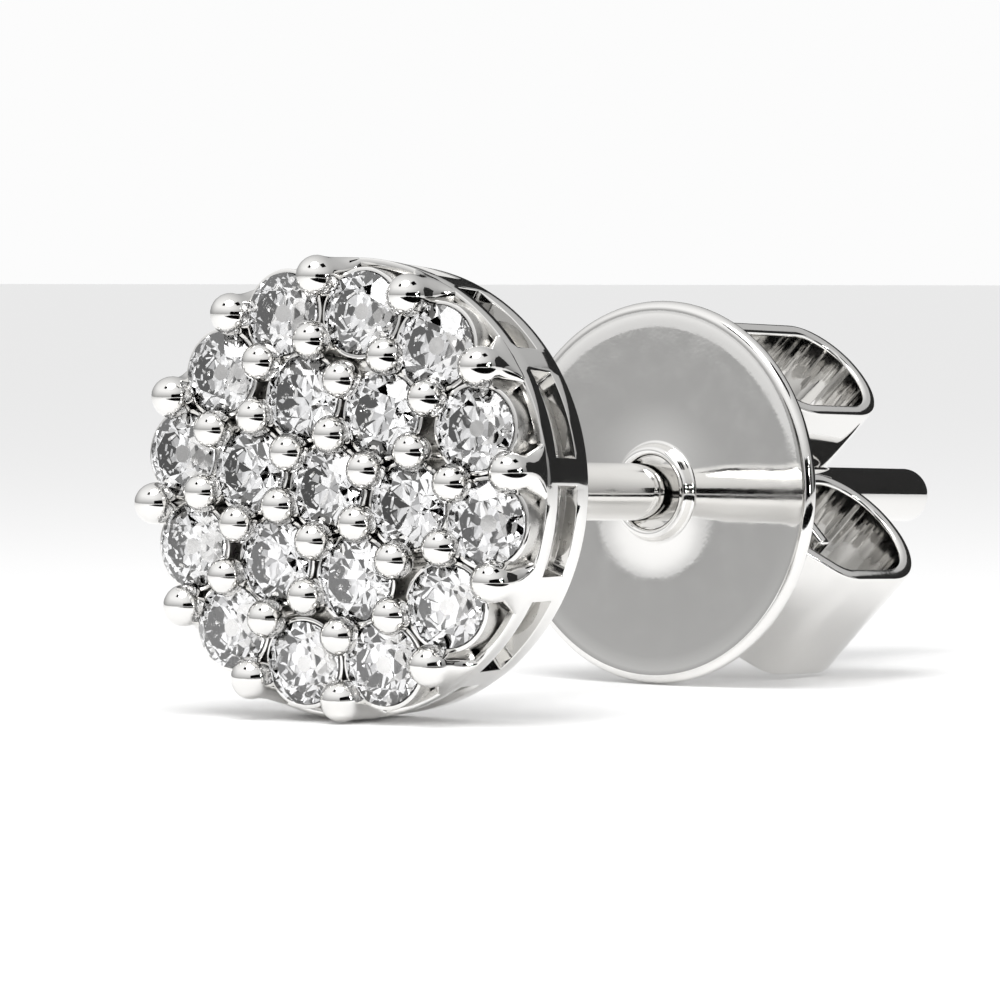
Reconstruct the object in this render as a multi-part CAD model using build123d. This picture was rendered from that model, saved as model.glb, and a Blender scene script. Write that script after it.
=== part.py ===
from build123d import *
import os
from math import cos, sin, tan, radians, degrees, atan2, sqrt

# Cluster stud earring with a butterfly clutch, lying on its side as it would by itself.
# Built with the post along +Y and the stones facing -Y, then tipped onto the ground.

# Face: 19 round stones, one in the middle, six around it and twelve outside
stone_d = 0.98
inner_ring_r = 1.13
outer_corner_r = 2.17
outer_edge_r = 2.09
ring_turn = 50.3
dome_r = 21.0

# Cut of a stone, as shares of its diameter
table_share = 0.56
crown_angle = 34.5
star_angle = 22
upper_girdle_angle = 40.5
pavilion_angle = 40.8
lower_girdle_angle = 42.2
girdle_share = 0.03
girdle_sides = 32
half_facet_share = 0.995

# Beads that hold the stones
bead_r = 0.22
outer_bead_r = 0.245
bead_lift = 0.10
bead_ring_small_r = 0.63
bead_ring_middle_r = 1.28
bead_ring_pair_r = 1.735
bead_pair_half_angle = 12.5
bead_ring_outer_r = 2.475
prong_h = 0.55
prong_leg_share = 0.93
prong_inset = 0.005
seat_gap = 0.02
drill_r = 0.26
blind_drill = 0.62
through_drill = 3.0
notch_reach = 1.3

# Drum of the head
rim_r = 2.72
back_r = 2.66
rim_y = 0.50
slot_front_y = 0.76
slot_back_y = 1.24
back_y = 1.55
slot_floor_r = 2.44
slot_sweep = 23
slot_clear = 0.3
rim_edge = 0.10
floor_y = 0.40
floor_drop = 0.14
cup_wall = 0.055
cup_drop = 0.03
cup_h = 0.62
cup_inset = 0.03
foot_r = 0.44
window_top = 0.08
window_foot = 0.45
edge_break = 0.04

# Post
post_r = 0.365
post_tip_y = 14.50
post_sink = 0.2
tip_round = 0.2

# Clutch: a round disc with an eyelet, and a scroll of strip with two ears
disc_y = 7.55
disc_r = 2.45
disc_t = 0.22
disc_round_share = 0.475
clutch_lean = 7
eyelet_bore_r = 0.47
eyelet_r = 0.62
eyelet_front = 0.12
eyelet_flange_r = 0.78
eyelet_flange_t = 0.08
eyelet_lip = 0.06
strip_t = 0.20
strip_gap = 0.02
strip_top = 0.70
strip_width = 1.83
scroll_roll = 45
base_half = 0.95
near_reach = 3.45
near_inner_q = 0.27
near_outer_q = 2.20
near_run = 1.62
near_curl_q = 1.55
near_curl_r = 0.60
far_reach = 5.50
far_inner_q = -0.82
far_outer_q = -2.55
far_run = 3.15
far_curl_q = -2.00
far_curl_r = 0.65
bend_slack = 0.02
near_bend_run = 0.1
far_bend_run = 0.9
near_neck_r = 0.5
far_neck_r = 0.8
foot_bend_r = 0.25


def dome_y(r):
    return r * r / (2 * dome_r)


def face_plane(r, angle):
    lean = r / dome_r
    out_x = cos(radians(angle))
    out_z = sin(radians(angle))
    normal = Vector(sin(lean) * out_x, -cos(lean), sin(lean) * out_z)
    return Plane(origin=(r * out_x, dome_y(r), r * out_z), x_dir=(-out_z, 0, out_x), z_dir=normal)


def half_space_cut(solid, angle, slope, radius, height):
    """Keep what lies inside a facet plane that leans away from the axis."""
    out = Vector(cos(radians(angle)), sin(radians(angle)), 0)
    side = 1 if slope > 0 else -1
    lean = radians(abs(slope))
    normal = Vector(out.X * sin(lean), out.Y * sin(lean), side * cos(lean))
    facet = Plane(origin=(out.X * radius, out.Y * radius, height), z_dir=normal)
    return split(solid, bisect_by=facet, keep=Keep.BOTTOM)


stone_r = stone_d / 2
girdle_half = girdle_share * stone_d / 2
table_r = table_share * stone_r
crown_h = (stone_r - table_r) * tan(radians(crown_angle))
pavilion_h = stone_r * tan(radians(pavilion_angle))


def brilliant():
    block_h = girdle_half + crown_h
    stone = Pos(0, 0, block_h / 2 - (pavilion_h + girdle_half) / 2) * extrude(
        RegularPolygon(stone_r, girdle_sides), (block_h + pavilion_h + girdle_half) / 2, both=True
    )
    for k in range(8):
        stone = half_space_cut(stone, 45 * k, crown_angle, stone_r, girdle_half)
        star_mid = table_r * cos(radians(22.5))
        stone = half_space_cut(stone, 45 * k + 22.5, star_angle, star_mid, block_h)
        stone = half_space_cut(stone, 45 * k, -pavilion_angle, stone_r, -girdle_half)
    for k in range(16):
        angle = 22.5 * k + 11.25
        stone = half_space_cut(stone, angle, upper_girdle_angle, stone_r * half_facet_share, girdle_half)
        stone = half_space_cut(stone, angle, -lower_girdle_angle, stone_r * half_facet_share, -girdle_half)
    return stone


def stone_seat(drill_depth):
    """Room that one stone needs in the metal, with the drilled hole under it."""
    r = stone_r + seat_gap
    g = girdle_half + seat_gap
    cone_h = pavilion_h + seat_gap
    drill_z = -g - cone_h * (1 - drill_r / r)
    outline = Polyline(
        (0, g + crown_h),
        (table_r + seat_gap, g + crown_h),
        (r, g),
        (r, -g),
        (drill_r, drill_z),
        (drill_r, -drill_depth),
        (0, -drill_depth),
        close=True,
    )
    return revolve(make_face(Plane.XZ * outline), Axis.Z)


def stone_places():
    places = [("centre", 0, 0)]
    for k in range(6):
        places.append(("inner", inner_ring_r, ring_turn + 60 * k))
    for k in range(12):
        places.append(("outer", outer_corner_r if k % 2 == 0 else outer_edge_r, ring_turn + 30 * k))
    return places


def bead_places():
    places = []
    for k in range(6):
        mid = ring_turn + 30 + 60 * k
        places.append((bead_ring_small_r, mid))
        places.append((bead_ring_middle_r, mid))
        places.append((bead_ring_pair_r, ring_turn + 60 * k - bead_pair_half_angle))
        places.append((bead_ring_pair_r, ring_turn + 60 * k + bead_pair_half_angle))
    return places


outer_bead_angles = [ring_turn + 15 + 30 * k for k in range(12)]


def drum():
    slope = (back_r - rim_r) / (back_y - rim_y)

    def wall_r(y):
        return rim_r + slope * (y - rim_y)

    profile = Polyline(
        (0, floor_y),
        (rim_r - rim_edge * 1.2, floor_y + floor_drop),
        (rim_r - rim_edge, rim_y),
        (rim_r, rim_y),
        (wall_r(back_y - edge_break), back_y - edge_break),
        (back_r - edge_break, back_y),
        (0, back_y),
        close=True,
    )
    # the seam lies behind a stone, clear of the prongs
    body = Rot(0, -ring_turn, 0) * revolve(make_face(profile), Axis.Y)
    reach = rim_r + slot_clear
    slot_mid = (slot_floor_r + reach) / 2
    slot = Pos(slot_mid, (slot_front_y + slot_back_y) / 2) * Rectangle(
        reach - slot_floor_r, slot_back_y - slot_front_y
    )
    sector = revolve(slot, Axis.Y, slot_sweep)
    for k in range(12):
        # a revolve about +Y runs clockwise seen from the front, so a sector starts at its high end
        body -= Rot(0, -(ring_turn + 30 * k + slot_sweep / 2), 0) * sector
    return body


def prong(r, angle, radius, foot_r):
    """A ball on a slightly thinner leg, which widens to foot_r at its lower end."""
    leg_r = radius * prong_leg_share
    neck = -sqrt(radius**2 - leg_r**2)
    outline = [
        Line((0, -prong_h), (foot_r, -prong_h)),
        Line((foot_r, -prong_h), (leg_r, neck)),
        RadiusArc((leg_r, neck), (0, radius), -radius),
        Line((0, radius), (0, -prong_h)),
    ]
    turned = revolve(Plane.XZ * make_face(outline), Axis.Z)
    return face_plane(r, angle).location * (Pos(0, 0, bead_lift) * turned)


def apart(place, other):
    return (place.origin - other.origin).length


def along_post(radius, y_from, y_to):
    return Pos(0, (y_from + y_to) / 2, 0) * Rot(90, 0, 0) * Cylinder(radius, y_to - y_from)


def setting():
    stones = [(ring, face_plane(r, angle)) for ring, r, angle in stone_places()]
    seats = []
    cups = []
    windows = []
    cup_r = stone_r + cup_wall
    # the seam of a round room stays off the metal that it trims
    room = Rot(0, -ring_turn - 15, 0) * along_post(rim_r - cup_inset, -1, slot_back_y)
    for ring, place in stones:
        drilled = blind_drill if ring == "centre" else through_drill
        seats.append((place, place.location * stone_seat(drilled)))
        cup = place.location * (Pos(0, 0, -cup_drop - cup_h / 2) * Cylinder(cup_r, cup_h))
        cups.append((place, cup & room))
        if ring == "outer":
            window = Pos(0, 0, -(window_top + window_foot) / 2) * Cylinder(
                cup_r + seat_gap, window_foot - window_top
            )
            windows.append((place, place.location * window))

    # every piece of metal is cut for its own stones before it joins the rest
    def notched(piece, place, cutters):
        return piece.cut(*[cutter for other, cutter in cutters if apart(place, other) < notch_reach])

    rings = []
    for place, cup in cups:
        rings += notched(cup, place, seats).solids()
    metal = drum().cut(*[seat for _, seat in seats]).fuse(*rings)
    prongs = []
    for r, angle in bead_places():
        whole = prong(r, angle, bead_r, bead_r * prong_leg_share)
        prongs += notched(whole, face_plane(r, angle), seats).solids()
    prong_room = Rot(0, -ring_turn, 0) * along_post(rim_r - prong_inset, -1, slot_front_y)
    for angle in outer_bead_angles:
        whole = prong(bead_ring_outer_r, angle, outer_bead_r, foot_r) & prong_room
        prongs += notched(whole, face_plane(bead_ring_outer_r, angle), seats + windows).solids()
    post = along_post(post_r, back_y - post_sink, post_tip_y)
    post = fillet(post.edges().sort_by(Axis.Y)[-1], tip_round)
    return metal.fuse(*prongs).fuse(post)


def clutch_plane():
    lean = radians(clutch_lean)
    roll = radians(scroll_roll)
    out = Vector(sin(lean), cos(lean), 0)
    level = Vector(cos(lean), -sin(lean), 0)
    strip = level * sin(roll) + Vector(0, 0, 1) * cos(roll)
    return Plane(origin=(0, disc_y, 0), x_dir=strip, z_dir=out)


def clutch_disc():
    plate = Pos(0, 0, disc_t / 2) * Cylinder(disc_r, disc_t)
    plate = fillet(plate.edges().filter_by(GeomType.CIRCLE), disc_t * disc_round_share)
    back = disc_t + 2 * strip_gap + strip_t
    tube_len = eyelet_front + back + eyelet_flange_t
    tube = Pos(0, 0, tube_len / 2 - eyelet_front) * Cylinder(eyelet_r, tube_len)
    tube = fillet(tube.edges().filter_by(GeomType.CIRCLE).sort_by(Axis.Z)[0], eyelet_lip)
    flange = Pos(0, 0, back + eyelet_flange_t / 2) * Cylinder(eyelet_flange_r, eyelet_flange_t)
    bore = Cylinder(eyelet_bore_r, 4 * tube_len)
    return clutch_plane().location * (plate + tube + flange - bore)


def clutch_scroll():
    base_h = disc_t + strip_gap + strip_t / 2
    half = strip_t / 2
    near_in = near_inner_q + half
    near_out = near_outer_q - half
    near_end = near_reach - half
    far_in = far_inner_q - half
    far_out = far_outer_q + half
    far_end = far_reach - half
    near_r = (near_out - near_in) / 2 - bend_slack
    far_r = (far_in - far_out) / 2 - bend_slack
    points = [
        (near_run, near_curl_q),
        (near_run, near_in),
        (near_end, near_in),
        (near_end, near_out),
        (near_end - 2 * near_r - near_bend_run, near_out),
        (base_h, base_half),
        (base_h, -base_half),
        (far_end - 2 * far_r - far_bend_run, far_out),
        (far_end, far_out),
        (far_end, far_in),
        (far_run, far_in),
        (far_run, far_curl_q),
    ]
    bends = [near_curl_r, near_r, near_r, near_neck_r, foot_bend_r]
    bends += [foot_bend_r, far_neck_r, far_r, far_r, far_curl_r]
    path = FilletPolyline(*points, radius=bends)
    strip = offset(path, amount=half, side=Side.BOTH)
    frame = clutch_plane()
    side = Plane(
        origin=frame.origin + frame.x_dir * strip_top, x_dir=frame.z_dir, z_dir=frame.x_dir * -1
    )
    scroll = extrude(side * make_face(strip), strip_width)
    hole = Pos(0, 0, base_h) * Cylinder(eyelet_r + strip_gap, 2 * strip_t)
    return scroll - frame.location * hole


rest_lean = degrees(atan2(rim_r - disc_r, disc_y - rim_y))
print("rest lean", round(rest_lean, 3))

pieces = {"setting": setting()}
cut_stone = brilliant()
print("stone faces", len(cut_stone.faces()))
names = {"centre": 0, "inner": 0, "outer": 0}
for ring, r, angle in stone_places():
    names[ring] += 1
    name = "stone_centre" if ring == "centre" else f"stone_{ring}_{names[ring]:02d}"
    pieces[name] = face_plane(r, angle).location * cut_stone
pieces["clutch_disc"] = clutch_disc()
pieces["clutch_scroll"] = clutch_scroll()

tipped = {name: Rot(-rest_lean, 0, 0) * piece for name, piece in pieces.items()}
box = Compound(children=[Compound(label=n, children=p.solids()) for n, p in tipped.items()]).bounding_box()
shift = Pos(-(box.min.X + box.max.X) / 2, -(box.min.Y + box.max.Y) / 2, -box.min.Z)
ground = shift * Rot(-rest_lean, 0, 0)
print("box", box.size)

os.makedirs("parts", exist_ok=True)
for name, piece in pieces.items():
    placed = ground * piece
    solids = placed.solids()
    export_step(solids[0] if len(solids) == 1 else Compound(children=solids), f"parts/{name}.step")


def at(x, y, z):
    return (ground * Pos(x, y, z)).position


for label, y in [("face", 0), ("head back", back_y), ("disc front", disc_y), ("post tip", post_tip_y)]:
    print(label, at(0, y, 0))
print("post direction", at(0, 1, 0) - at(0, 0, 0))
out = clutch_plane().z_dir
print("disc direction", (ground * Pos(out.X, out.Y, out.Z)).position - at(0, 0, 0))
print("volume", sum(piece.volume for piece in pieces.values()), "metal", pieces["setting"].volume)
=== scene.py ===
import bpy
import bmesh
from math import sin, cos, tan, pi, radians, degrees, atan2, hypot
from mathutils import Matrix, Vector


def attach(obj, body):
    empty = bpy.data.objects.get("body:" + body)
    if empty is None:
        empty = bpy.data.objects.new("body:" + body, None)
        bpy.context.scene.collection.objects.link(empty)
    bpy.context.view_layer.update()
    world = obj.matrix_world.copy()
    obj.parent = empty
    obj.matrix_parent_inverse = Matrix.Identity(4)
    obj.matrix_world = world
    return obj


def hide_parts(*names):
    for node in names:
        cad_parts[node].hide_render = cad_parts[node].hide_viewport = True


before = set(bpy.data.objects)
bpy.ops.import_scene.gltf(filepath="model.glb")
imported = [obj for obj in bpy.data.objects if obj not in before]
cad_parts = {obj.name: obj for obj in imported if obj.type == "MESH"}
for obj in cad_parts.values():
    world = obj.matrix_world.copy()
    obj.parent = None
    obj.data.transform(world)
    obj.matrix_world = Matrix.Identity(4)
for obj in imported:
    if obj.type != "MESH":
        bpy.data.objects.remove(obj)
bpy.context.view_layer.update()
print("frame loaded")

# Lengths in these dictionaries are millimetres, angles are degrees.
# Head coordinates: middle of the face at the origin, depth along +Y, up along +Z.
rest = {"face": (0, -7.08328, 2.74163), "lean": 2.193}
headPlace = (
    Matrix.Scale(0.001, 4)
    @ Matrix.Translation(rest["face"])
    @ Matrix.Rotation(-radians(rest["lean"]), 4, "X")
)


def linear(hexColour):
    parts = [int(hexColour[i:i + 2], 16) / 255 for i in (1, 3, 5)]
    return [p / 12.92 if p <= 0.04045 else ((p + 0.055) / 1.055) ** 2.4 for p in parts] + [1]


# settings: socket or property values; links: input name to output socket
def addNode(tree, kind, settings=None, links=None):
    node = tree.nodes.new(kind)
    for name, value in (settings or {}).items():
        if name in node.inputs:
            node.inputs[name].default_value = value
        else:
            setattr(node, name, value)
    for name, socket in (links or {}).items():
        tree.links.new(socket, node.inputs[name])
    return node


def newFinish(name):
    finish = bpy.data.materials.new(name)
    finish.use_nodes = True
    tree = finish.node_tree
    return finish, tree, tree.nodes["Principled BSDF"]


# Rhodium plate over white gold, wheel-polished: a bright neutral mirror, a little wavy from the wheel,
# with hairlines drawn at 0.05 mm so that they show
polish = {"colour": "#E9E8E6", "rough": 0.045, "roughMore": 0.05, "wave": 0.9, "waveDepth": 0.0025,
          "smudge": 0.35, "hair": 0.05, "hairDepth": 0.00035}
polishedGold, tree, shader = newFinish("polishedRhodiumWhiteGold")
shader.inputs["Base Color"].default_value = linear(polish["colour"])
shader.inputs["Metallic"].default_value = 1
where = addNode(tree, "ShaderNodeTexCoord")
wave = addNode(tree, "ShaderNodeTexNoise", {"Scale": 1000 / polish["wave"], "Detail": 2.0, "Roughness": 0.4},
               {"Vector": where.outputs["Object"]})
smudge = addNode(tree, "ShaderNodeTexNoise", {"Scale": 1000 / polish["smudge"], "Detail": 4.0},
                 {"Vector": where.outputs["Object"]})
gloss = addNode(tree, "ShaderNodeMapRange",
                {"From Min": 0.35, "From Max": 0.75, "To Min": polish["rough"],
                 "To Max": polish["rough"] + polish["roughMore"]},
                {"Value": smudge.outputs["Fac"]})
tree.links.new(gloss.outputs["Result"], shader.inputs["Roughness"])
hair = addNode(tree, "ShaderNodeTexNoise", {"Scale": 1000 / polish["hair"], "Detail": 2.0},
               {"Vector": where.outputs["Object"]})
bumpWave = addNode(tree, "ShaderNodeBump", {"Strength": 0.6, "Distance": polish["waveDepth"] / 1000},
                   {"Height": wave.outputs["Fac"]})
bumpHair = addNode(tree, "ShaderNodeBump", {"Strength": 0.5, "Distance": polish["hairDepth"] / 1000},
                   {"Height": hair.outputs["Fac"], "Normal": bumpWave.outputs["Normal"]})
tree.links.new(bumpHair.outputs["Normal"], shader.inputs["Normal"])

# The same metal where a wheel can't reach, as cast and tumbled: satin, softly grained, about 0.08 mm grain, and its
# base colour painted darker grey than the polished metal, which is painted shade in the recesses
satinShaded = {"colour": "#B9B7B4", "light": "#D9D8D5", "rough": 0.30, "roughLess": 0.08, "roughMore": 0.12,
         "grain": 0.08, "grainDepth": 0.006}
satinShadedGold, tree, shader = newFinish("satinPaintedShadeRecessWhiteGold")
shader.inputs["Metallic"].default_value = 1
where = addNode(tree, "ShaderNodeTexCoord")
grain = addNode(tree, "ShaderNodeTexNoise", {"Scale": 1000 / satinShaded["grain"], "Detail": 5.0, "Roughness": 0.65},
                {"Vector": where.outputs["Object"]})
tone = addNode(tree, "ShaderNodeMix", {"data_type": "RGBA"}, {"Factor": grain.outputs["Fac"]})
mixColours = {"first": 6, "second": 7, "result": 2}   # where this node keeps its colour sockets
# both grain tones are darker than the polished metal: painted shade, varied at random by the grain
tone.inputs[mixColours["first"]].default_value = linear(satinShaded["colour"])
tone.inputs[mixColours["second"]].default_value = linear(satinShaded["light"])
tree.links.new(tone.outputs[mixColours["result"]], shader.inputs["Base Color"])
dull = addNode(tree, "ShaderNodeMapRange",
               {"From Min": 0.3, "From Max": 0.7, "To Min": satinShaded["rough"] - satinShaded["roughLess"],
                "To Max": satinShaded["rough"] + satinShaded["roughMore"]},
               {"Value": grain.outputs["Fac"]})
tree.links.new(dull.outputs["Result"], shader.inputs["Roughness"])
bump = addNode(tree, "ShaderNodeBump", {"Strength": 0.7, "Distance": satinShaded["grainDepth"] / 1000},
               {"Height": grain.outputs["Fac"]})
tree.links.new(bump.outputs["Normal"], shader.inputs["Normal"])

# Diamond, colourless, polished facets
diamond, tree, shader = newFinish("brilliantCutDiamond")
shader.inputs["Base Color"].default_value = linear("#FDFDFE")
shader.inputs["Roughness"].default_value = 0
shader.inputs["IOR"].default_value = 2.417
shader.inputs["Transmission Weight"].default_value = 1
print("finishes made")


# a closed lathe shape from (radius, height) points, about Z
def turned(profile, sides):
    mesh = bmesh.new()
    chain = [mesh.verts.new((r, 0, z)) for r, z in profile]
    for a, b in zip(chain, chain[1:]):
        mesh.edges.new((a, b))
    bmesh.ops.spin(mesh, geom=mesh.verts[:] + mesh.edges[:], axis=(0, 0, 1), cent=(0, 0, 0),
                   angle=2 * pi, steps=sides, use_merge=True)
    bmesh.ops.remove_doubles(mesh, verts=mesh.verts[:], dist=1e-5)
    bmesh.ops.recalc_face_normals(mesh, faces=mesh.faces[:])
    return mesh


# rounds every edge that turns by more than corner degrees
def soften(mesh, width, segments, corner):
    edges = [e for e in mesh.edges if len(e.link_faces) == 2 and degrees(e.calc_face_angle(0)) > corner]
    bmesh.ops.bevel(mesh, geom=edges, offset=width, offset_type="OFFSET", affect="EDGES", segments=segments,
                    profile=0.5, material=-1, clamp_overlap=True)


# one object with the mesh at each place, riding on body
def finished(mesh, name, places, body, finishes, sharp=32):
    whole = bmesh.new()
    part = bpy.data.meshes.new(name + "Part")
    mesh.to_mesh(part)
    mesh.free()
    for place in places:
        copyPart = part.copy()
        copyPart.transform(place)
        if place.determinant() < 0:
            copyPart.flip_normals()
        whole.from_mesh(copyPart)
        bpy.data.meshes.remove(copyPart)
    bpy.data.meshes.remove(part)
    data = bpy.data.meshes.new(name)
    whole.to_mesh(data)
    whole.free()
    for finish in finishes:
        data.materials.append(finish)
    data.polygons.foreach_set("use_smooth", [True] * len(data.polygons))
    if sharp:
        data.set_sharp_from_angle(angle=radians(sharp))
    piece = bpy.data.objects.new(name, data)
    bpy.context.scene.collection.objects.link(piece)
    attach(piece, body)
    return piece


face = {"domeR": 21.0, "turn": 50.3, "innerR": 1.13, "cornerR": 2.17, "edgeR": 2.09}


def domeDepth(r):
    return r * r / (2 * face["domeR"])


# on the domed face: X round the face, Z out of it
def facePlace(r, angle):
    lean = r / face["domeR"]
    a = radians(angle)
    normal = Vector((sin(lean) * cos(a), -cos(lean), sin(lean) * sin(a)))
    roundFace = Vector((-sin(a), 0, cos(a)))
    place = Matrix((roundFace, normal.cross(roundFace), normal)).transposed().to_4x4()
    place.translation = (r * cos(a), domeDepth(r), r * sin(a))
    return headPlace @ place


alongDepth = Matrix.Rotation(-pi / 2, 4, "X")   # a lathe's Z becomes the depth
stonePlaces = [facePlace(0, 0)] + [facePlace(face["innerR"], face["turn"] + 60 * k) for k in range(6)]
stonePlaces += [facePlace(face["cornerR"] if k % 2 == 0 else face["edgeR"], face["turn"] + 30 * k)
                for k in range(12)]

# the head's drum, with a row of slots round its wall
drum = {"rimR": 2.72, "backR": 2.66, "rimY": 0.50, "lipR": 2.615, "pitY": 0.66, "pitR": 2.59, "pitRun": 0.10,
        "middleR": 2.30, "middleY": 0.46, "slotFront": 0.76, "slotBack": 1.24, "slotFloorR": 2.44,
        "slotHalf": 11.5, "backY": 1.55, "backEdge": 0.04, "sides": 360, "seam": 0.5, "edge": 0.014, "corner": 40}
slope = (drum["backR"] - drum["rimR"]) / (drum["backY"] - drum["rimY"])


def wallR(y):
    return drum["rimR"] + slope * (y - drum["rimY"])


profile = [(0, drum["middleY"]), (drum["middleR"], drum["middleY"]), (drum["pitR"] - drum["pitRun"], drum["pitY"]),
           (drum["pitR"], drum["pitY"]), (drum["lipR"], drum["rimY"])]
profile += [(wallR(y), y) for y in (drum["rimY"], drum["slotFront"], drum["slotBack"],
                                    drum["backY"] - drum["backEdge"])]
profile += [(drum["backR"] - drum["backEdge"], drum["backY"]), (0, drum["backY"])]
mesh = turned(profile, drum["sides"])
bmesh.ops.rotate(mesh, verts=mesh.verts[:], cent=(0, 0, 0),
                 matrix=Matrix.Rotation(radians(drum["seam"] - face["turn"]), 3, "Z"))


# degrees from the nearest stone's direction, in the lathe's own turn
def offStone(point):
    turn = degrees(atan2(-point.y, point.x)) - face["turn"]
    return abs((turn + 15) % 30 - 15)


slotFaces = [f for f in mesh.faces if drum["slotFront"] < f.calc_center_median().z < drum["slotBack"]
             and offStone(f.calc_center_median()) < drum["slotHalf"]]
moved = bmesh.ops.extrude_face_region(mesh, geom=slotFaces)["geom"]
bmesh.ops.delete(mesh, geom=slotFaces, context="FACES")
for item in moved:
    if isinstance(item, bmesh.types.BMVert):
        item.co.xy = item.co.xy.normalized() * drum["slotFloorR"]
# the slot floors take the darker satin finish: painted shade in the slots
for item in moved:
    if isinstance(item, bmesh.types.BMFace):
        item.material_index = 1
bmesh.ops.recalc_face_normals(mesh, faces=mesh.faces[:])
soften(mesh, drum["edge"], 2, drum["corner"])
headDrum = finished(mesh, "headDrum", [headPlace @ alongDepth], "head", [polishedGold, satinShadedGold])
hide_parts("setting")

# the holes drilled behind all the stones but the middle one
drill = {"r": 0.26, "from": 1.0, "to": 2.2, "sides": 40}
mesh = turned([(0, -drill["to"]), (drill["r"], -drill["to"]), (drill["r"], -drill["from"]), (0, -drill["from"])],
              drill["sides"])
drills = finished(mesh, "drills", stonePlaces[1:], "head", [satinShadedGold])
cut = headDrum.modifiers.new("backHoles", "BOOLEAN")
cut.operation, cut.solver, cut.object = "DIFFERENCE", "EXACT", drills
bpy.context.view_layer.update()
drilledMesh = bpy.data.meshes.new_from_object(headDrum.evaluated_get(bpy.context.evaluated_depsgraph_get()))
headDrum.modifiers.clear()
headDrum.data = drilledMesh
drilledMesh.set_sharp_from_angle(angle=radians(32))
bpy.data.objects.remove(drills)

# collars that the stones sit in, bright on top and satin below, the satin part painted darker as painted shade under
# the stones
cup = {"outR": 0.545, "inR": 0.500, "top": -0.028, "foot": -0.62, "deepR": 0.26, "deep": -0.25,
       "slopeIn": 0.02, "slopeDown": 0.03, "brightDepth": 0.016, "edge": 0.010, "corner": 60, "sides": 72}
mesh = turned([(cup["deepR"], cup["foot"]), (cup["outR"], cup["foot"]), (cup["outR"], cup["top"]),
               (cup["inR"], cup["top"]), (cup["inR"] - cup["slopeIn"], cup["top"] - cup["slopeDown"]),
               (cup["deepR"], cup["deep"]), (cup["deepR"], cup["foot"])], cup["sides"])
soften(mesh, cup["edge"], 2, cup["corner"])
# faces below the bright band take the darker satin finish: painted shade inside the cup
for f in mesh.faces:
    f.material_index = 0 if f.calc_center_median().z > cup["top"] - cup["brightDepth"] else 1
finished(mesh, "seatCups", stonePlaces, "head", [polishedGold, satinShadedGold])

# round beads between the stones, each on a thinner leg
bead = {"r": 0.235, "lift": 0.10, "capTurn": 140, "legR": 0.15, "legTop": -0.12, "foot": -0.42,
        "rings": 12, "sides": 40, "smallR": 0.63, "middleR": 1.28, "pairR": 1.735, "pairHalf": 12.5}
turns = [radians(bead["capTurn"]) * k / bead["rings"] for k in range(bead["rings"] + 1)]
profile = [(bead["r"] * sin(a), bead["lift"] + bead["r"] * cos(a)) for a in turns]
profile += [(bead["legR"], bead["legTop"]), (bead["legR"], bead["foot"])]
beadPlaces = []
for k in range(6):
    between = face["turn"] + 30 + 60 * k
    beadPlaces += [facePlace(bead["smallR"], between), facePlace(bead["middleR"], between)]
    beadPlaces += [facePlace(bead["pairR"], face["turn"] + 60 * k + s * bead["pairHalf"]) for s in (-1, 1)]
finished(turned(profile, bead["sides"]), "innerBeads", beadPlaces, "head", [polishedGold], sharp=0)

# outer prongs: a ball whose leg squares up into the rim with pointed corners
prong = {"r": 0.252, "ballY": 0.046, "sides": 64, "dome": 10, "sharp": 50}
# depth, middle radius, half size outwards, half size sideways, squareness
prongLevels = [(0.046, 2.490, 0.252, 0.252, 2.0), (0.15, 2.494, 0.238, 0.244, 2.0), (0.25, 2.500, 0.226, 0.246, 2.3),
               (0.34, 2.506, 0.218, 0.258, 3.0), (0.42, 2.508, 0.215, 0.280, 5.0), (0.475, 2.508, 0.213, 0.308, 9.0),
               (0.505, 2.507, 0.213, 0.330, 14.0), (0.60, 2.500, 0.20, 0.300, 14.0)]
turns = [radians(90) * k / prong["dome"] for k in range(prong["dome"])]
profile = [(prong["r"] * sin(a), prong["ballY"] - prong["r"] * cos(a)) for a in turns]
profile += [(prong["r"], level[0]) for level in prongLevels] + [(0, prongLevels[-1][0])]
mesh = turned(profile, prong["sides"])
for v in mesh.verts:
    depth, middleR, halfOut, halfSide, square = next(
        (level for level in prongLevels if abs(level[0] - v.co.z) < 1e-6), prongLevels[0])
    share = hypot(v.co.x, v.co.y) / prong["r"]
    turn = atan2(v.co.y, v.co.x)
    power = 2 / square
    out = abs(cos(turn)) ** power * (1 if cos(turn) > 0 else -1) * halfOut * share
    sideways = abs(sin(turn)) ** power * (1 if sin(turn) > 0 else -1) * halfSide * share
    reach = middleR + out
    v.co = Vector((reach * cos(sideways / reach), reach * sin(sideways / reach), v.co.z))
prongPlaces = [headPlace @ alongDepth @ Matrix.Rotation(-radians(face["turn"] + 15 + 30 * k), 4, "Z")
               for k in range(12)]
finished(mesh, "outerProngs", prongPlaces, "head", [polishedGold], sharp=prong["sharp"])

post = {"r": 0.365, "from": 1.40, "tip": 14.50, "round": 0.16, "steps": 8, "sides": 96}
turns = [radians(90) * k / post["steps"] for k in range(post["steps"] + 1)]
profile = [(0, post["from"]), (post["r"], post["from"])]
profile += [(post["r"] - post["round"] * (1 - cos(a)), post["tip"] - post["round"] * (1 - sin(a))) for a in turns]
profile += [(0, post["tip"])]
finished(turned(profile, post["sides"]), "earPost", [headPlace @ alongDepth], "head", [polishedGold])
for name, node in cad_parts.items():
    if name.startswith("stone"):
        node.data.materials.clear()
        node.data.materials.append(diamond)
        node.data.polygons.foreach_set("use_smooth", [False] * len(node.data.polygons))
print("head made")

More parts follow.
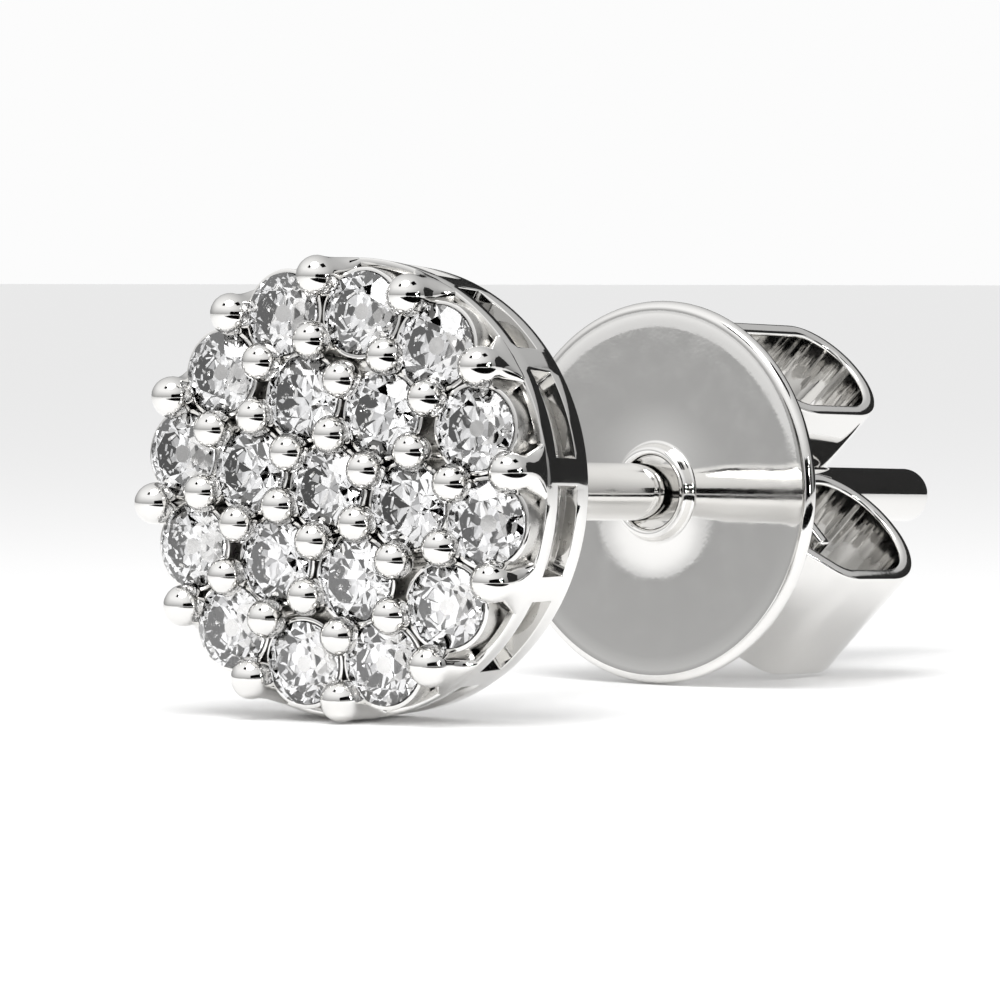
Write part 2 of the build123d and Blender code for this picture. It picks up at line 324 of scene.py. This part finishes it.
# the clutch sits a little crooked on the post: its own X across, Z outwards
clutch = {"y": 7.55, "lean": 7, "roll": 45}
outwards = Vector((sin(radians(clutch["lean"])), cos(radians(clutch["lean"])), 0))
level = Vector((cos(radians(clutch["lean"])), -sin(radians(clutch["lean"])), 0))
across = level * sin(radians(clutch["roll"])) + Vector((0, 0, 1)) * cos(radians(clutch["roll"]))
clutchPlace = Matrix((across, outwards.cross(across), outwards)).transposed().to_4x4()
clutchPlace.translation = (0, clutch["y"], 0)
clutchPlace = headPlace @ clutchPlace


def arcPoints(cx, cz, r, start, end, steps):
    angles = [radians(start + (end - start) * k / steps) for k in range(steps + 1)]
    return [(cx + r * cos(a), cz + r * sin(a)) for a in angles]


disc = {"r": 2.45, "t": 0.22, "dish": 0.035, "boreR": 0.47, "eyeletR": 0.62, "eyeletFront": 0.12,
        "eyeletRoll": 0.065, "eyeletSide": 0.02, "footRoll": 0.05, "rimRoll": 0.11, "flangeR": 0.78,
        "flangeT": 0.08, "flangeStep": 0.1, "corner": 0.02, "strip": 0.24, "sides": 256}
dishSteps = [(1.2, 0.9), (1.7, 0.7), (2.1, 0.4)]   # radius, share of the dish
dishEdge = (2.28, 0.008)
back = disc["t"] + disc["strip"]
flangeBack = back + disc["flangeT"]
# round the section: bore, eyelet's rolled lip, the slightly dished front, the rolled rim, the back, the flange
profile = [(disc["boreR"], flangeBack - disc["corner"])]
profile += arcPoints(disc["boreR"] + disc["eyeletRoll"], -disc["eyeletFront"] + disc["eyeletRoll"],
                     disc["eyeletRoll"], 180, 360, 10)
profile += [(disc["eyeletR"], -disc["eyeletSide"])]
profile += arcPoints(disc["eyeletR"] + disc["footRoll"], -disc["footRoll"] + disc["dish"], disc["footRoll"], 180, 90, 5)
profile += [(r, disc["dish"] * share) for r, share in dishSteps] + [dishEdge]
profile += arcPoints(disc["r"] - disc["rimRoll"], disc["t"] / 2, disc["rimRoll"], 270, 450, 16)
profile += [(disc["flangeR"] - disc["flangeStep"], disc["t"]), (disc["flangeR"] - disc["flangeStep"], back),
            (disc["flangeR"] - disc["corner"], back), (disc["flangeR"], back + disc["corner"]),
            (disc["flangeR"], flangeBack - disc["corner"]), (disc["flangeR"] - disc["corner"], flangeBack),
            (disc["boreR"] + disc["corner"], flangeBack), (disc["boreR"], flangeBack - disc["corner"])]
clutchDisc = finished(turned(profile, disc["sides"]), "clutchDisc", [clutchPlace], "clutch", [polishedGold])
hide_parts("clutch_disc")

scroll = {"t": 0.20, "top": 0.70, "width": 1.83, "edge": 0.06, "edgeSteps": 4, "corner": 50, "arcStep": 4}
# (along the post, across the strip's plane, bend radius) of the strip's middle line
scrollPath = [(1.62, 1.55, 0), (1.62, 0.37, 0.60), (3.35, 0.37, 0.845), (3.35, 2.10, 0.845), (1.56, 2.10, 0.5),
              (0.34, 0.95, 0.25), (0.34, -0.95, 0.25), (3.01, -2.45, 0.8), (5.40, -2.45, 0.745), (5.40, -0.92, 0.745),
              (3.15, -0.92, 0.65), (3.15, -2.00, 0)]


# the path with each corner turned on its own radius
def bent(path, arcStep):
    points = [Vector(path[0][:2])]
    for (ax, ay, _), (bx, by, r), (cx, cy, _) in zip(path, path[1:], path[2:]):
        corner = Vector((bx, by))
        inWay = (corner - Vector((ax, ay))).normalized()
        outWay = (Vector((cx, cy)) - corner).normalized()
        turn = inWay.angle_signed(outWay)     # clockwise is positive
        run = r * tan(abs(turn) / 2)
        start = corner - inWay * run
        side = Vector((inWay.y, -inWay.x)) * (1 if turn > 0 else -1)
        centre = start + side * r
        steps = max(2, round(degrees(abs(turn)) / arcStep))
        points += [centre + Matrix.Rotation(-turn * k / steps, 2) @ (start - centre) for k in range(steps + 1)]
    points.append(Vector(path[-1][:2]))
    return points


mesh = bmesh.new()
line = [mesh.verts.new((scroll["top"], q, h)) for h, q in bent(scrollPath, scroll["arcStep"])]
edges = [mesh.edges.new(pair) for pair in zip(line, line[1:])]
wide = bmesh.ops.extrude_edge_only(mesh, edges=edges)["geom"]
bmesh.ops.translate(mesh, verts=[v for v in wide if isinstance(v, bmesh.types.BMVert)],
                    vec=(-scroll["width"], 0, 0))
bmesh.ops.recalc_face_normals(mesh, faces=mesh.faces[:])
clutchScroll = finished(mesh, "clutchScroll", [clutchPlace], "clutch", [polishedGold], sharp=0)
wall = clutchScroll.modifiers.new("stripWall", "SOLIDIFY")
wall.thickness, wall.offset, wall.use_even_offset = scroll["t"] / 1000, 0, True
edge = clutchScroll.modifiers.new("stripEdge", "BEVEL")
edge.width, edge.segments = scroll["edge"] / 1000, scroll["edgeSteps"]
edge.limit_method, edge.angle_limit = "ANGLE", radians(scroll["corner"])
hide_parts("clutch_scroll")
print("clutch made")

# the camera: turn and rise from straight ahead of the face, which falls at faceX, faceY in the picture
view = {"turn": 31.91, "rise": 2.236, "distance": 68.29, "focal": 5840.4, "faceX": 326.83, "faceY": 488.15,
        "picture": 1000, "sensor": 36, "near": 1, "far": 10000}
a, e = radians(view["turn"]), radians(view["rise"])
toCamera = Vector((sin(a) * cos(e), -cos(a) * cos(e), sin(e)))
right = Vector((cos(a), sin(a), 0))
up = toCamera.cross(right)
spot = Vector(rest["face"]) + toCamera * view["distance"]
spot -= right * (view["faceX"] - view["picture"] / 2) / view["focal"] * view["distance"]
spot -= up * (view["picture"] / 2 - view["faceY"]) / view["focal"] * view["distance"]
cameraData = bpy.data.cameras.new("photoCamera")
cameraData.sensor_width = view["sensor"]
cameraData.lens = view["focal"] / view["picture"] * view["sensor"]
cameraData.clip_start, cameraData.clip_end = view["near"] / 1000, view["far"] / 1000
camera = bpy.data.objects.new("photoCamera", cameraData)
camera.matrix_world = Matrix.Translation(spot / 1000) @ Matrix((right, up, toCamera)).transposed().to_4x4()
bpy.context.scene.collection.objects.link(camera)
bpy.context.scene.camera = camera


def plain(name, colour):
    finish, tree, shader = newFinish(name)
    shader.inputs["Base Color"].default_value = linear(colour)
    shader.inputs["Roughness"].default_value = 0.9
    shader.inputs["Specular IOR Level"].default_value = 0.0
    return finish


def flat(name, place, width, height, finish):
    mesh = bmesh.new()
    bmesh.ops.create_grid(mesh, x_segments=1, y_segments=1, size=0.5)
    bmesh.ops.scale(mesh, verts=mesh.verts[:], vec=(width / 1000, height / 1000, 1))
    bmesh.ops.transform(mesh, verts=mesh.verts[:], matrix=place)
    data = bpy.data.meshes.new(name)
    mesh.to_mesh(data)
    mesh.free()
    data.materials.append(finish)
    piece = bpy.data.objects.new(name, data)
    bpy.context.scene.collection.objects.link(piece)
    return piece


# seen by reflections and through the stones only
def onlyReflected(card):
    card.visible_camera = card.visible_shadow = card.visible_diffuse = False


floorGap = 0.01
flat("floor", Matrix.Translation((0, 0, -floorGap / 1000)), 4000, 4000, plain("palePaper", "#FDFDFD"))
headMiddle = Vector((0, -6.2, 2.7))


# a point seen from the head at turn degrees right of the camera's direction and rise above level
def around(turn, rise, distance):
    t, r = radians(view["turn"] + turn), radians(rise)
    return headMiddle + distance * Vector((sin(t) * cos(r), -cos(t) * cos(r), sin(r)))


# a place at middle whose Z points to the head
def facing(middle):
    return Matrix.Translation(middle / 1000) @ (headMiddle - middle).to_track_quat("Z", "Y").to_matrix().to_4x4()


cards = [
    # name, turn, rise, distance, width, height, colour
    ("sideCard", 34, 9, 30, 52, 10, "#030303"),
    ("cameraCard", 4, 10, 60, 12, 14, "#030303"),
    ("backCard", 140, 12, 40, 60, 18, "#2A2A2A"),
    ("crownCard", -55, 50, 50, 12, 12, "#050505"),
    ("highCard", 60, 58, 50, 20, 16, "#050505"),
]
for name, turn, rise, distance, width, height, colour in cards:
    onlyReflected(flat(name, facing(around(turn, rise, distance)), width, height, plain(name, colour)))
# one more lies on the floor
low = {"turn": 34, "distance": 25, "lift": 0.02, "width": 52, "height": 34}
lowMiddle = Vector((0, 0, low["lift"])) + Vector((1, 1, 0)) * around(low["turn"], 0, low["distance"])
lowPlace = Matrix.Translation(lowMiddle / 1000) @ Matrix.Rotation(radians(view["turn"] + low["turn"]), 4, "Z")
onlyReflected(flat("floorCard", lowPlace, low["width"], low["height"], plain("floorCard", "#050505")))

# a white tent: brightest overhead and at the front left, dim low down and behind
world = bpy.data.worlds.new("studio")
world.use_nodes = True
bpy.context.scene.world = world
tree = world.node_tree
tent = {"front": -50, "dim": 0.50, "peak": 1.3, "blend": 0.7, "seen": "#FCFCFC"}
rises = [(0.0, 0.42), (0.20, 0.72), (0.50, 1.10), (1.0, 1.25)]   # height of the ray, brightness
ray = addNode(tree, "ShaderNodeTexCoord")
split = addNode(tree, "ShaderNodeSeparateXYZ", {}, {"Vector": ray.outputs["Generated"]})
byRise = addNode(tree, "ShaderNodeValToRGB", {}, {"Fac": split.outputs["Z"]})
for at, _ in rises[1:-1]:
    byRise.color_ramp.elements.new(at)
for element, (at, bright) in zip(byRise.color_ramp.elements, rises):
    element.position, element.color = at, [bright / tent["peak"]] * 3 + [1]
frontTurn = radians(view["turn"] + tent["front"])
along = addNode(tree, "ShaderNodeVectorMath", {"operation": "DOT_PRODUCT"})
tree.links.new(ray.outputs["Generated"], along.inputs[0])
along.inputs[1].default_value = (sin(frontTurn), -cos(frontTurn), 0)
side = addNode(tree, "ShaderNodeMapRange",
               {"From Min": -tent["blend"], "From Max": tent["blend"], "To Min": tent["dim"] * tent["peak"],
                "To Max": tent["peak"]},
               {"Value": along.outputs["Value"]})
glow = addNode(tree, "ShaderNodeVectorMath", {"operation": "SCALE"}, {"Scale": side.outputs["Result"]})
tree.links.new(byRise.outputs["Color"], glow.inputs[0])
lit = tree.nodes["Background"]
tree.links.new(glow.outputs["Vector"], lit.inputs["Color"])
lit.inputs["Strength"].default_value = 1.0
seen = addNode(tree, "ShaderNodeBackground", {"Color": linear(tent["seen"])})
path = addNode(tree, "ShaderNodeLightPath")
either = addNode(tree, "ShaderNodeMixShader", {}, {"Fac": path.outputs["Is Camera Ray"]})
tree.links.new(lit.outputs[0], either.inputs[1])
tree.links.new(seen.outputs[0], either.inputs[2])
tree.links.new(either.outputs[0], tree.nodes["World Output"].inputs["Surface"])

lamps = [
    # name, turn, rise, distance, size, power in mW
    ("topSoft", -20, 65, 60, 40, 18),
    ("dotA", 56, 3, 28, 1.6, 1.2),
    ("dotB", 50, 12, 28, 1.3, 1.0),
    ("dotC", 62, 16, 28, 1.0, 0.8),
]
for name, turn, rise, distance, size, power in lamps:
    lightData = bpy.data.lights.new(name, "AREA")
    lightData.shape = "DISK"
    lightData.size = size / 1000
    lightData.energy = power / 1000
    light = bpy.data.objects.new(name, lightData)
    point = around(turn, rise, distance)
    light.matrix_world = Matrix.Translation(point / 1000) @ (
        point - headMiddle).to_track_quat("Z", "Y").to_matrix().to_4x4()
    bpy.context.scene.collection.objects.link(light)

scene = bpy.context.scene
scene.view_settings.view_transform = "Standard"
scene.view_settings.look = "None"
print("stage made")
